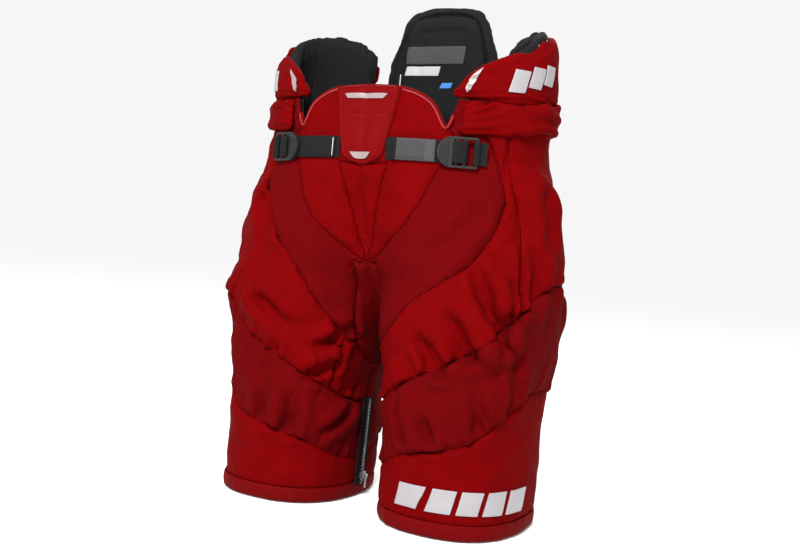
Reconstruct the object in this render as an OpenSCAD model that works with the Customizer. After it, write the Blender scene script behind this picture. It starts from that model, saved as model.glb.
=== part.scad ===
// Padded ice hockey pants: a girdle with hip and spine pads, two legs that
// swing at the hips, a belt with two ladder-lock buckles and two leg zips.
// Millimetres. +X is the wearer's left, -Y the front, +Z up, z = 0 at the hems.

/* [Girdle] */
// Width across the hips
hip_w = 424; // [412:2:436]
// Width at the belt
waist_w = 364; // [356:2:372]
// Depth from belly to seat
seat_d = 236; // [230:2:240]
// Height of the belt's centre line
belt_z = 424; // [422:1:426]
// Height of the top of the spine pad
spine_top = 638; // [620:2:650]
// Highest point of the hip pads
hip_pad_top = 596; // [580:2:605]

/* [Legs] */
// Width of one leg at the hem
hem_w = 170; // [166:1:174]
// Depth of one leg at the hem
hem_d = 208; // [200:2:212]
// Sideways distance from the middle to a leg's centre
leg_x = 111; // [110:1:114]
// Height of the folded hem binding
binding_h = 16; // [12:1:18]

/* [Joints] */
// Height of the line that both legs swing about
hip_axis_z = 360; // [356:1:364]
// Radius of the cut between girdle and legs
hip_cut_r = 135; // [134:0.5:137]
// Height of the line that the upper pads flex about
pad_hinge_z = 480; // [478:1:482]

/* [Webbing and hardware] */
// Width of the belt webbing
web_w = 25; // [20:1:26]
// Length of the buckle
buckle_l = 46; // [44:1:48]
// Height of the buckle
buckle_h = 34; // [33:1:36]
// Radius of the buckle's round bars
bar_r = 2; // [1.6:0.1:2.2]
// Length of the leg zip
zip_l = 110; // [90:5:115]

/* [Layers] */
// Thickness of the outer fabric
skin_t = 2; // [1.5:0.1:2.2]
// Gap between neighbouring pieces
seam_gap = 0.5; // [0.4:0.1:0.8]
// Thickness of the plastic caps
cap_t = 2; // [1.5:0.1:2.2]

/* [Hidden] */

red = [0.66, 0.03, 0.05];
dark_red = [0.5, 0.04, 0.05];
black = [0.1, 0.1, 0.1];
grey = [0.3, 0.31, 0.32];
silver = [0.75, 0.74, 0.73];
foam = [0.85, 0.84, 0.78];

half_hip = hip_w / 2;
half_waist = waist_w / 2;
half_seat = seat_d / 2;

// Depth below the outer shape of each layer: [outer side, inner side].
skin = [0, skin_t];
girdle_foam = [skin_t + 2, 14];
girdle_lining = [15, 17];
wing_cover = [0, 8];
wing_cap = [8.8, 8.8 + cap_t];
wing_lining = [9.8 + cap_t, 19];
leg_cap = [skin_t + 1.4, skin_t + 1.4 + cap_t];
leg_foam = [skin_t + 2.4 + cap_t, 13];
leg_lining = [13.5, 15];

// ---- The girdle's outer shape: a stack of superelliptical rings ----
// t is the ring's angle: 0 at the wearer's left, -90 at the front, 90 at the back.
function power(v, p) = sign(v) * pow(abs(v), p);
function ring_w(z) = lookup(z, [[220, half_hip - 5], [300, half_hip], [340, half_hip - 5],
    [380, half_hip - 17], [420, half_waist + 2], [455, half_waist], [520, half_waist - 1],
    [640, half_waist - 12]]);
function front_d(z) = lookup(z, [[220, half_seat - 7], [300, half_seat], [340, half_seat - 1],
    [380, half_seat - 5], [420, half_seat - 11], [455, half_seat - 13], [640, half_seat - 16]]);
function back_d(z) = lookup(z, [[220, half_seat - 7], [320, half_seat], [380, half_seat - 2],
    [455, half_seat - 12], [640, half_seat - 20]]);
function ring_n(z) = lookup(z, [[220, 2.5], [300, 2.4], [380, 2.2], [455, 2.05], [640, 2.05]]);
// How far the middle of the front and back is drawn in, between the thighs.
valley_w = 50;
function valley(z) = lookup(z, [[228, 0.8], [260, 0.55], [295, 0.34], [315, 0.32], [363, 0.18],
    [405, 0.02], [430, 0]]);
back_valley_share = 0.6;
function girdle_pt(t, z, inset) =
    let(front = sin(t) < 0, n = ring_n(z),
        x = (ring_w(z) - inset) * power(cos(t), 2 / n),
        y = ((front ? front_d(z) : back_d(z)) - inset) * power(sin(t), 2 / n),
        dip = valley(z) * exp(-pow(x / valley_w, 2)) * (front ? 1 : back_valley_share))
    [x, y * (1 - dip), z];
// The ring angle at which the front of the outer shape has this x.
function front_angle(x, z) = -acos(sign(x) * pow(abs(x) / ring_w(z), ring_n(z) / 2));

// ---- A leg's outer shape. t: 0 outer side, -90 front, 90 back, 180 inner side ----
function inner_x(z) = leg_x - hem_w / 2 + lookup(z, [[0, 0], [130, -3], [150, -6], [180, -12],
    [215, -20], [240, -22], [300, -22]]);
function outer_x(z) = leg_x + hem_w / 2 + lookup(z, [[0, 0], [120, 0], [180, 5], [220, 10], [240, 12],
    [300, 16]]);
function leg_half_d(z) = lookup(z, [[0, hem_d / 2], [120, hem_d / 2], [220, half_seat - 7],
    [300, half_seat]]);
leg_n = 2.4;
function leg_pt(t, z, inset) =
    [(inner_x(z) + outer_x(z)) / 2 + ((outer_x(z) - inner_x(z)) / 2 - inset) * power(cos(t), 2 / leg_n),
     (leg_half_d(z) - inset) * power(sin(t), 2 / leg_n), z];

// ---- Sheets of even thickness cut from a shape ----
// near and far are grids of points, rows from the bottom up; a closed sheet joins its row ends.
module sheet(near, far, closed = false) {
    rows = len(near);
    cols = len(near[0]);
    spans = closed ? cols : cols - 1;
    count = rows * cols;
    points = [for (g = [near, far]) for (row = g) each row];
    function at(g, r, c) = g * count + r * cols + c % cols;
    function quad(a, b, c, d) = [[a, b, c], [a, c, d]];
    faces = [
        for (r = [0 : rows - 2], c = [0 : spans - 1])
            each quad(at(0, r, c), at(0, r + 1, c), at(0, r + 1, c + 1), at(0, r, c + 1)),
        for (r = [0 : rows - 2], c = [0 : spans - 1])
            each quad(at(1, r, c), at(1, r, c + 1), at(1, r + 1, c + 1), at(1, r + 1, c)),
        for (c = [0 : spans - 1])
            each quad(at(0, 0, c), at(0, 0, c + 1), at(1, 0, c + 1), at(1, 0, c)),
        for (c = [0 : spans - 1])
            each quad(at(0, rows - 1, c), at(1, rows - 1, c), at(1, rows - 1, c + 1), at(0, rows - 1, c + 1)),
        if (!closed) for (r = [0 : rows - 2])
            each quad(at(0, r, 0), at(1, r, 0), at(1, r + 1, 0), at(0, r + 1, 0)),
        if (!closed) for (r = [0 : rows - 2])
            each quad(at(0, r, cols - 1), at(0, r + 1, cols - 1), at(1, r + 1, cols - 1), at(1, r, cols - 1)),
    ];
    polyhedron(points, faces);
}
function mix(a, b, u) = a + (b - a) * u;

// A sheet between two ring angles, from z_low(t) to z_high(t).
module wall(place, t0, t1, z_low, z_high, layer, cols, rows, closed = false) {
    grid = function (inset) [for (r = [0 : rows]) [for (c = [0 : closed ? cols - 1 : cols])
        let(t = mix(t0, t1, c / cols)) place(t, mix(z_low(t), z_high(t), r / rows), inset)]];
    sheet(grid(layer[0]), grid(layer[1]), closed);
}
// A sheet over given heights, from ring angle t_low(z) to t_high(z).
module band(place, heights, t_low, t_high, layer, cols) {
    grid = function (inset) [for (z = heights) [for (c = [0 : cols])
        place(mix(t_low(z), t_high(z), c / cols), z, inset)]];
    sheet(grid(layer[0]), grid(layer[1]));
}
on_girdle = function (t, z, inset) girdle_pt(t, z, inset);
on_leg = function (t, z, inset) leg_pt(t, z, inset);

// ---- The cut between girdle and legs: a cylinder round the hip axis ----
cut_gap = 0.75;
module hip_drum(r) translate([0, 0, hip_axis_z]) rotate([0, 90, 0]) cylinder(r = r, h = 500, center = true, $fn = 96);
module above_cut() {
    difference() {
        children();
        difference() {
            translate([-250, -150, 0]) cube([500, 300, hip_axis_z]);
            hip_drum(hip_cut_r - cut_gap);
        }
    }
}
module below_cut() {
    difference() {
        children();
        hip_drum(hip_cut_r + cut_gap);
    }
}
module on_right() mirror([1, 0, 0]) children();

// ---- Seam lines on the girdle's front, as half widths against height ----
function front_edge(z) = lookup(z, [[293, 1], [303, 16], [318, 33], [340, 60], [365, 76], [400, 90],
    [430, 104], [440, 106], [446, 99], [453, 91], [467, 84], [476, 79.5], [484, 70], [490, 57], [495, 38]]);
function mesh_inner(z) = max(18, front_edge(z) + 1);
function mesh_outer(z) = lookup(z, [[225, 25], [245, 50], [272, 85], [305, 120], [340, 145],
    [380, 160], [415, 150], [446, 131], [446.6, 101], [455, 97], [478, 99]]);
function fly_edge(z) = lookup(z, [[297, 1], [314, 6], [363, 18], [406, 31]]);

low_rows = [228, 236, 245, 258, 272, 288];
mid_rows = [293, 297, 303, 310, 318, 329, 340, 352, 365, 382, 400, 415, 430, 440, 446];
front_rows = [each mid_rows, 453, 460, 467, 476, 484, 490, 495];
mesh_rows = [each low_rows, each mid_rows];
module front_panel()
    color(red) band(on_girdle, front_rows, function (z) front_angle(-front_edge(z), z),
        function (z) front_angle(front_edge(z), z), skin, 14);

fly_rows = [297, 303, 310, 318, 329, 340, 352, 365, 382, 404];
module fly_panel()
    color(red) band(on_girdle, fly_rows, function (z) front_angle(-fly_edge(z), z),
        function (z) front_angle(fly_edge(z), z), [-2.4, -1], 6);

module left_groin_mesh()
    color(dark_red) above_cut() band(on_girdle, mesh_rows,
        function (z) front_angle(mesh_inner(z), z), function (z) front_angle(mesh_outer(z) - 1, z), skin, 6);

back_seam = 52;
hip_top = pad_hinge_z - 2;
hip_rows = [222, each mesh_rows, 446.6, 455, 466, hip_top];
module left_hip_panel()
    color(red) above_cut() band(on_girdle, hip_rows,
        function (z) front_angle(mesh_outer(z), z), function (z) back_seam, skin, 9);

seat_low = 236;
module seat_panel()
    color(red) above_cut() wall(on_girdle, back_seam + 0.4, 180 - back_seam - 0.4,
        function (t) seat_low, function (t) hip_top, skin, 14, 16);

// The stretch strip between the legs, along a path from the fly to the seat.
gusset_half_w = 17;
gusset_t = 3;
gusset_path = [[-75.5, 306], [-74.5, 296], [-74.5, 288], [-66, 272], [-58, 260], [-45, 244], [-30, 232.5],
    [-15, 228], [0, 226.5], [15, 227.5], [35, 231.5], [50, 237], [61, 243.5], [68, 250.5], [72.5, 257], [75.5, 264]];
module crotch_gusset() {
    last = len(gusset_path) - 1;
    color(dark_red) rotate([90, 0, 90]) translate([0, 0, -gusset_half_w]) linear_extrude(2 * gusset_half_w)
        polygon([each gusset_path,
            for (i = [last : -1 : 0]) gusset_path[i] + gusset_t * [-sign(gusset_path[i][0]), 1]]);
}

function liner_low(t) = lookup(abs(abs(t) - 90), [[14, 312], [26, 268]]);
liner_high = 450;
module girdle_liner()
    color(black) above_cut() wall(on_girdle, -180, 180, function (t) liner_low(t), function (t) liner_high,
        girdle_lining, 40, 8, true);

side_pad_t = [-30, 48];
module left_side_pad()
    color(foam) above_cut() wall(on_girdle, side_pad_t[0], side_pad_t[1], function (t) 240,
        function (t) hip_top - 4, girdle_foam, 14, 20);

module tailbone_pad()
    color(foam) wall(on_girdle, 62, 118, function (t) 300, function (t) 440,
        [girdle_foam[0], girdle_foam[1] - 2], 14, 10);

// ---- Upper pads: covers, plastic caps and linings ----
wing_low = pad_hinge_z + 2;
wing_front = -57;
wing_back = 61;
function wing_rim(t) = hip_pad_top + lookup(t, [[wing_front, -106], [-54, -92], [-50, -80], [-44, -70],
    [-28, -50], [-10, -26], [12, -9], [33, 0], [48, -6], [56, -20], [wing_back, -44]]);
module left_hip_pad()
    color(red) wall(on_girdle, wing_front, wing_back, function (t) wing_low, function (t) wing_rim(t),
        wing_cover, 16, 5);
module left_hip_cap()
    color(silver) wall(on_girdle, -40, 52, function (t) wing_low + 8, function (t) wing_rim(t) - 12,
        wing_cap, 12, 4);
module left_hip_lining()
    color(black) wall(on_girdle, wing_front, wing_back, function (t) wing_low, function (t) wing_rim(t) - 1,
        wing_lining, 16, 5);

spine_t = 63;
function spine_rim(t) = spine_top + lookup(abs(t - 90), [[0, 0], [10, 0], [17, -4], [20, -12], [23, -46],
    [90 - spine_t, -90]]);
module spine_pad()
    color(black) wall(on_girdle, spine_t, 180 - spine_t, function (t) wing_low, function (t) spine_rim(t),
        wing_cover, 18, 5);
module spine_cap()
    color(silver) wall(on_girdle, 72, 108, function (t) wing_low + 8, function (t) spine_rim(t) - 14,
        wing_cap, 10, 4);
module spine_lining()
    color(black) wall(on_girdle, spine_t, 180 - spine_t, function (t) wing_low,
        function (t) spine_rim(t) - 1, wing_lining, 18, 5);

// The folded sleeve of fabric that carries the belt round each hip.
module left_hip_band()
    color(red) wall(on_girdle, -54, 58, function (t) belt_z + 20, function (t) pad_hinge_z - 3,
        [-6.5, -0.5], 14, 3);

// ---- Crest: a moulded plate over the fly, with two inlaid tabs ----
crest_y = 3 - half_seat;
crest_t = 5.2;
crest_outline = [[-41, 489], [-33, 446], [-29, 421], [-26, 414], [-12, 408], [0, 405], [12, 408], [26, 414],
    [29, 421], [33, 446], [41, 489]];
top_tab = [[-27, 485], [-22, 479], [22, 479], [27, 485]];
low_tab = [[-13, 418], [0, 410], [13, 418], [9, 421], [-9, 421]];
tab_depth = 1;
module upright(y, t) translate([0, y + t, 0]) rotate([90, 0, 0]) linear_extrude(t) children();
module crest_plate() {
    color(red) difference() {
        upright(crest_y, crest_t) polygon(crest_outline);
        upright(crest_y - 1, tab_depth + 1) polygon(top_tab);
        upright(crest_y - 1, tab_depth + 1) polygon(low_tab);
    }
}
module crest_tabs() {
    color(silver) upright(crest_y - 0.4, tab_depth + 0.35) {
        offset(delta = -0.15) polygon(top_tab);
        offset(delta = -0.15) polygon(low_tab);
    }
}

// ---- Belt: straps, folded tails, loops and ladder-lock buckles ----
web_t = 1.6;
strap_x = [20, 98];
tail_x = [37, 78];
module webbing(x_span, outset)
    band(on_girdle, [belt_z - web_w / 2, belt_z + web_w / 2],
        function (z) front_angle(x_span[0], z), function (z) front_angle(x_span[1], z),
        [-outset - web_t, -outset], 8);
module left_belt_strap() color(black) webbing(strap_x, 0.4);
module left_belt_tail() color(grey) webbing(tail_x, 2.4);

// The buckle's own frame: x along the belt, outwards; -y away from the body; the hinge bar at the origin.
hinge_bar = [131.8, -85.8];
buckle_turn = 22;
module at_buckle() translate([hinge_bar[0], hinge_bar[1], belt_z]) rotate([0, 0, buckle_turn]) children();
rail_t = 2.5;
frame_t = 3.6;
ladder_bars = [-13, -22];
tab_from = -27;
module round_bar(x) translate([x, 0, -buckle_h / 2 + 0.5]) cylinder(r = bar_r, h = buckle_h - 1, $fn = 32);
module left_buckle() {
    color(grey) at_buckle() {
        difference() {
            union() {
                translate([tab_from, -frame_t / 2, -buckle_h / 2]) cube([-tab_from, frame_t, buckle_h]);
                translate([tab_from, -frame_t / 2, 0]) rotate([-90, 0, 0])
                    intersection() {
                        shift_to_tab() cylinder(r = buckle_h / 2, h = frame_t, $fn = 64);
                        translate([-buckle_h, -buckle_h, 0]) cube([buckle_h, 2 * buckle_h, frame_t]);
                    }
            }
            translate([tab_from + 1, -frame_t, rail_t - buckle_h / 2])
                cube([-tab_from + 10, 2 * frame_t, buckle_h - 2 * rail_t]);
        }
        round_bar(0);
        for (x = ladder_bars) round_bar(x);
    }
}
// The thumb tab is a disc that is drawn back until it sticks out by the buckle's spare length.
module shift_to_tab() translate([buckle_h / 2 - (buckle_l + tab_from - bar_r), 0, 0]) children();

loop_gap = 0.4;
module left_buckle_loop() {
    color(black) at_buckle() translate([0, 0, -web_w / 2]) {
        difference() {
            cylinder(r = bar_r + loop_gap + web_t, h = web_w, $fn = 48);
            translate([0, 0, -1]) cylinder(r = bar_r + loop_gap, h = web_w + 2, $fn = 48);
        }
        translate([bar_r + loop_gap + 0.4, bar_r + loop_gap - 0.6, 0]) cube([9, web_t, web_w]);
    }
}

// ---- Leg panels ----
function guard_top(t) = lookup(t, [[-180, 58], [-135, 77], [-95, 92], [-62, 103], [-45, 122], [-30, 142],
    [-10, 163], [20, 160], [60, 130], [90, 105], [135, 80], [180, 58]]);
function mesh_top(t) = lookup(t, [[-176, 120], [-135, 150], [-112, 166], [-93, 179], [-60, 205],
    [-40, 228], [-18, 255], [25, 255]]);
inner_seam = 179.5;
side_seam = -19;
back_edge = 64;
leg_top = 300;

module left_hem_binding() {
    ring = function (inset) [for (i = [0 : 47]) let(p = leg_pt(i * 7.5, 0, inset)) [p[0], p[1]]];
    color(dark_red) linear_extrude(binding_h) difference() {
        polygon(ring(-0.5));
        polygon(ring(4.5));
    }
}
module left_hem_guard()
    color(red) wall(on_leg, -180, 180, function (t) binding_h + seam_gap, function (t) guard_top(t), skin,
        44, 4, true);
module left_lower_mesh()
    color(dark_red) below_cut() wall(on_leg, -inner_seam, back_edge, function (t) guard_top(t) + 3 * seam_gap,
        function (t) mesh_top(t), skin, 30, 4);
module left_thigh_panel()
    color(red) below_cut() wall(on_leg, -inner_seam, side_seam, function (t) mesh_top(t) + seam_gap,
        function (t) leg_top, skin, 16, 6);
module left_back_panel()
    color(red) below_cut() wall(on_leg, back_edge + 0.4, inner_seam, function (t) guard_top(t) + seam_gap,
        function (t) leg_top, skin, 16, 8);
module left_leg_liner()
    color(black) below_cut() wall(on_leg, -180, 180, function (t) 4, function (t) leg_top, leg_lining,
        36, 8, true);
module left_thigh_pad()
    color(foam) below_cut() wall(on_leg, -150, -22, function (t) 22, function (t) 272, leg_foam, 14, 8);
module left_thigh_cap()
    color(silver) below_cut() wall(on_leg, -138, -36, function (t) 44, function (t) 246, leg_cap, 12, 6);

// Plain badges: a row of slanted bars on the left hem, one bar on each hip pad.
badge_from = -109;
badge_step = 21;
badge_bar = 17;
badge_lean = 4;
module slanted_bar(place, t, span, z0, z1, lean) {
    grid = function (inset) [for (r = [0 : 1]) [for (c = [0 : 4])
        place(t + span * c / 4 + lean * r, mix(z0, z1, r), inset)]];
    sheet(grid(-2.4), grid(-1));
}
module left_leg_badge()
    color(silver) for (i = [0 : 4])
        slanted_bar(on_leg, badge_from + badge_step * i, badge_bar, 30, 56, badge_lean);
module left_hip_badge()
    color(silver) slanted_bar(on_girdle, -34, 30, 494, 516, 4);
module left_hip_tab()
    color(silver) slanted_bar(on_girdle, -54.5, 5, 486, 498, 2);

// ---- Leg zip, on the inner side: its own frame has z along the zip and x away from the leg ----
zip_low = 15;
zip_lean = atan((inner_x(zip_low) - inner_x(zip_low + zip_l)) / zip_l);
tape_t = 1.2;
teeth = [5, 2];
module at_zip() translate([inner_x(zip_low) - 0.9, 0, zip_low]) rotate([0, zip_lean, 180]) children();
module left_zip_tape() {
    color(black) at_zip() {
        translate([0, -12, 0]) cube([tape_t, 24, zip_l]);
        translate([tape_t, -teeth[0] / 2, 0]) cube([teeth[1], teeth[0], zip_l]);
    }
}
slider_z = 8;
slider_size = [4.4, 8.4, 9];
slider_gap = 0.4;
slider_face = tape_t + slider_gap + slider_size[0];
lug_x = slider_face + 2.6;
pin_r = 0.8;
module left_zip_slider() {
    color(grey) at_zip() translate([0, 0, slider_z]) {
        difference() {
            translate([tape_t + slider_gap, -slider_size[1] / 2, 0]) cube(slider_size);
            translate([0, -teeth[0] / 2 - slider_gap, -1])
                cube([tape_t + teeth[1] + slider_gap, teeth[0] + 2 * slider_gap, slider_size[2] + 2]);
        }
        for (y = [-3, 2]) translate([slider_face - 0.5, y, 2]) cube([4.3, 1, 4]);
        translate([lug_x, -3, 4]) rotate([-90, 0, 0]) cylinder(r = pin_r, h = 6, $fn = 24);
    }
}
pull_l = 15;
pull_r = 2.1;
pull_hole = pin_r + 0.35;
module left_zip_pull() {
    color(grey) at_zip() translate([lug_x, 0, slider_z + 4]) rotate([90, 0, 0]) translate([0, 0, -1.6])
        difference() {
            union() {
                cylinder(r = pull_r, h = 3.2, $fn = 24);
                translate([-0.7, -pull_l, 0]) cube([1.4, pull_l - pull_hole, 3.2]);
            }
            translate([0, 0, -1]) cylinder(r = pull_hole, h = 6, $fn = 24);
        }
}

// ---- Output ----
front_panel();
fly_panel();
crest_plate();
crest_tabs();
left_groin_mesh();
on_right() left_groin_mesh();  // right_groin_mesh
left_hip_panel();
on_right() left_hip_panel();  // right_hip_panel
seat_panel();
crotch_gusset();
girdle_liner();
left_side_pad();
on_right() left_side_pad();  // right_side_pad
tailbone_pad();
left_hip_band();
on_right() left_hip_band();  // right_hip_band
left_hip_pad();
on_right() left_hip_pad();  // right_hip_pad
left_hip_cap();
on_right() left_hip_cap();  // right_hip_cap
left_hip_lining();
on_right() left_hip_lining();  // right_hip_lining
spine_pad();
spine_cap();
spine_lining();
left_belt_strap();
on_right() left_belt_strap();  // right_belt_strap
left_belt_tail();
on_right() left_belt_tail();  // right_belt_tail
left_buckle_loop();
on_right() left_buckle_loop();  // right_buckle_loop
left_buckle();
on_right() left_buckle();  // right_buckle
left_hem_binding();
on_right() left_hem_binding();  // right_hem_binding
left_hem_guard();
on_right() left_hem_guard();  // right_hem_guard
left_lower_mesh();
on_right() left_lower_mesh();  // right_lower_mesh
left_thigh_panel();
on_right() left_thigh_panel();  // right_thigh_panel
left_back_panel();
on_right() left_back_panel();  // right_back_panel
left_leg_liner();
on_right() left_leg_liner();  // right_leg_liner
left_thigh_pad();
on_right() left_thigh_pad();  // right_thigh_pad
left_thigh_cap();
on_right() left_thigh_cap();  // right_thigh_cap
left_zip_tape();
on_right() left_zip_tape();  // right_zip_tape
left_zip_slider();
on_right() left_zip_slider();  // right_zip_slider
left_zip_pull();
on_right() left_zip_pull();  // right_zip_pull
left_leg_badge();
left_hip_badge();
on_right() left_hip_badge();  // right_hip_badge
left_hip_tab();
on_right() left_hip_tab();  // right_hip_tab
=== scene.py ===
"""Padded ice hockey pants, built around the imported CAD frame. Metres; -Y front, +X wearer's left, +Z up."""
import math
from contextlib import contextmanager

import bmesh
import bpy
import numpy as np
from mathutils import Matrix, Vector, kdtree, noise
from mathutils.bvhtree import BVHTree


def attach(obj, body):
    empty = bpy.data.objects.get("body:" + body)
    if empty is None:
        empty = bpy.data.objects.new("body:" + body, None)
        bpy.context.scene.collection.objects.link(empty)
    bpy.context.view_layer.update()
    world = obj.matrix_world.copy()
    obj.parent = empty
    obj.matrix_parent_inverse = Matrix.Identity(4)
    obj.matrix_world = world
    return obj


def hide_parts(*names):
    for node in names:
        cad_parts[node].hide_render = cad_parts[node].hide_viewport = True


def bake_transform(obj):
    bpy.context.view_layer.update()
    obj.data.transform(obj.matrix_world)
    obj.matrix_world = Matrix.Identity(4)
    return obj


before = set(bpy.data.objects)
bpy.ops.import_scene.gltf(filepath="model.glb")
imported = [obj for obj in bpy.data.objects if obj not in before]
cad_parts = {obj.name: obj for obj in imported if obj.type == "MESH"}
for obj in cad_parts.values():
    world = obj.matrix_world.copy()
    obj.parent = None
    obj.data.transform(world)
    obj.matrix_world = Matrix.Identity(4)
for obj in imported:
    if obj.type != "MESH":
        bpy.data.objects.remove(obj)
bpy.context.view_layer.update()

# ---------------------------------------------------------------- the body's shape
HALF_HIP, HALF_WAIST, HALF_SEAT = 0.212, 0.182, 0.118
LEG_X, HEM_HALF_W, HEM_HALF_D = 0.111, 0.085, 0.104
VALLEY_W = 0.05
WAIST_N = 2.05
BELT_Z = 0.424
HEM_Z = 0.017


def table(*rows):
    """A function that reads values between the rows of (position, value)."""
    x, y = zip(*rows)
    return lambda v: np.interp(v, x, y)


def power(v, p):
    return np.sign(v) * np.abs(v) ** p


def bell(gap, width):
    """1 on a line, fading to nothing a few widths away from it."""
    return np.exp(-(gap / width) ** 2)


ring_w = table((.22, HALF_HIP - .005), (.30, HALF_HIP), (.34, HALF_HIP - .005), (.38, HALF_HIP - .017),
               (.42, HALF_WAIST + .002), (.455, HALF_WAIST), (.52, HALF_WAIST - .001),
               (.64, HALF_WAIST - .012))
front_d = table((.22, HALF_SEAT - .007), (.30, HALF_SEAT), (.34, HALF_SEAT - .001), (.38, HALF_SEAT - .005),
                (.42, HALF_SEAT - .011), (.455, HALF_SEAT - .013), (.64, HALF_SEAT - .016))
back_d = table((.22, HALF_SEAT - .007), (.32, HALF_SEAT), (.38, HALF_SEAT - .002), (.455, HALF_SEAT - .012),
               (.64, HALF_SEAT - .020))
ring_n = table((.22, 2.5), (.30, 2.4), (.38, 2.2), (.455, WAIST_N))
valley = table((.228, .8), (.26, .55), (.295, .34), (.315, .32), (.363, .18), (.405, .02), (.43, 0))
inner_bend = table((0, 0), (.13, -.003), (.15, -.006), (.18, -.012), (.215, -.020), (.24, -.022))
outer_bend = table((.12, 0), (.18, .005), (.22, .010), (.24, .012), (.30, .016))
inner_x = lambda z: LEG_X - HEM_HALF_W + inner_bend(z)
outer_x = lambda z: LEG_X + HEM_HALF_W + outer_bend(z)
leg_half_d = table((0, HEM_HALF_D), (.12, HEM_HALF_D), (.22, HALF_SEAT - .007), (.30, HALF_SEAT))


def girdle_pt(t, z, inset=0.0):
    """A point on the girdle: t is the ring angle in degrees, 0 at the wearer's left and -90 in front."""
    c, s = np.cos(np.radians(t)), np.sin(np.radians(t))
    n = ring_n(z)
    x = (ring_w(z) - inset) * power(c, 2 / n)
    y = (np.where(s < 0, front_d(z), back_d(z)) - inset) * power(s, 2 / n)
    dip = valley(z) * bell(x, VALLEY_W) * np.where(s < 0, 1.0, 0.6)
    return np.stack(np.broadcast_arrays(x, y * (1 - dip), z), -1)


def waist_angle(p):
    """The ring angle t, in degrees, of points p near the waist."""
    return np.degrees(np.arctan2(p[:, 1] / HALF_SEAT, p[:, 0] / HALF_WAIST))


def leg_pt(t, z, inset=0.0, side=1):
    """A point on a leg: t is 0 on the outer side, -90 in front and 180 on the inner side."""
    c, s = np.cos(np.radians(t)), np.sin(np.radians(t))
    lo, hi = inner_x(z), outer_x(z)
    x = (lo + hi) / 2 + ((hi - lo) / 2 - inset) * power(c, 2 / 2.4)
    y = (leg_half_d(z) - inset) * power(s, 2 / 2.4)
    return np.stack(np.broadcast_arrays(side * x, y, z), -1)


def leg_angle(p):
    """The leg's ring angle t, in degrees, of points p, an (n, 3) array on either leg."""
    lo, hi = inner_x(p[:, 2]), outer_x(p[:, 2])
    c = power((np.abs(p[:, 0]) - (lo + hi) / 2) / ((hi - lo) / 2), 1.2)
    s = power(p[:, 1] / leg_half_d(p[:, 2]), 1.2)
    return np.degrees(np.arctan2(s, c))


# ---------------------------------------------------------------- mesh helpers
def new_object(name, mesh):
    o = bpy.data.objects.new(name, mesh)
    bpy.context.scene.collection.objects.link(o)
    return o


def make(name, verts, faces):
    mesh = bpy.data.meshes.new(name)
    mesh.from_pydata([tuple(map(float, v)) for v in verts], [], faces)
    mesh.update()
    return new_object(name, mesh)


def read(items, name, width=1, kind=np.int32):
    """One property of all vertices, loops or faces, as an array with that many columns."""
    out = np.empty(len(items) * width, kind)
    items.foreach_get(name, out)
    return out.reshape(-1, width) if width > 1 else out


def coords(mesh):
    return read(mesh.vertices, "co", 3, np.float32).astype(float)


def set_coords(mesh, co):
    mesh.vertices.foreach_set("co", np.asarray(co, np.float32).ravel())
    mesh.update()


def normals(mesh):
    return read(mesh.vertex_normals, "vector", 3, np.float32).astype(float)


@contextmanager
def editing(mesh):
    """The mesh as a bmesh, which is written back at the end."""
    bm = bmesh.new()
    bm.from_mesh(mesh)
    yield bm
    bm.to_mesh(mesh)
    bm.free()


def relax(values, times=1):
    """Evens out a row of values, or of points, with its neighbours; the ends stay."""
    for _ in range(times):
        values[1:-1] = (values[:-2] + 2 * values[1:-1] + values[2:]) / 4
    return values


def grid_faces(rows, cols, closed, start=0, flip=False):
    faces = []
    for r in range(rows - 1):
        for c in range(cols if closed else cols - 1):
            d, low = (c + 1) % cols, start + r * cols
            q = [low + c, low + d, low + cols + d, low + cols + c]
            faces.append(q[::-1] if flip else q)
    return faces


def caps(rows, cols):
    """The two end faces of a tube of closed rows."""
    return [list(range(cols))[::-1], [(rows - 1) * cols + c for c in range(cols)]]


def applied(o):
    """Replaces the object's mesh by what its modifiers make of it."""
    dg = bpy.context.evaluated_depsgraph_get()
    mesh = bpy.data.meshes.new_from_object(o.evaluated_get(dg), preserve_all_data_layers=True, depsgraph=dg)
    old = o.data
    o.modifiers.clear()
    o.data = mesh
    bpy.data.meshes.remove(old)
    return o


def modify(o, kind, **settings):
    m = o.modifiers.new(kind.lower(), kind)
    for k, v in settings.items():
        setattr(m, k, v)
    return m


def subdivided(o):
    modify(o, "SUBSURF", levels=1, render_levels=1)
    return applied(o)


def join(objects, name):
    bm = bmesh.new()
    for o in objects:
        bm.from_mesh(o.data)
        bpy.data.objects.remove(o)
    mesh = bpy.data.meshes.new(name)
    bm.to_mesh(mesh)
    bm.free()
    return new_object(name, mesh)


def melt(parts, name, voxel, rounds):
    """Parts melted into one smooth closed form."""
    o = join(parts, name)
    modify(o, "REMESH", mode="VOXEL", voxel_size=voxel, adaptivity=0.0)
    applied(o)
    modify(o, "SMOOTH", factor=.5, iterations=rounds)
    return applied(o)


# ---------------------------------------------------------------- the sewn body
def volume(name, rings):
    rows, cols = len(rings), len(rings[0])
    return make(name, np.concatenate(rings), grid_faces(rows, cols, True) + caps(rows, cols))


BODY_VOXEL = 0.0045
tuck = table((.225, 0), (.25, .0012), (.28, .007), (.325, .022))


def raw_body():
    """Girdle and legs melted into one smooth closed form."""
    t = np.arange(0, 360, 2.5) - 180
    parts = [volume("pelvis", [girdle_pt(t, z) for z in np.arange(.232, .516, .006)])]
    for side in (1, -1):
        ring_t = t if side > 0 else t[::-1]
        parts.append(volume("leg", [leg_pt(ring_t, z, tuck(z), side) for z in np.arange(-.03, .325, .006)]))
    return melt(parts, "body", BODY_VOXEL, 6)


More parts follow.
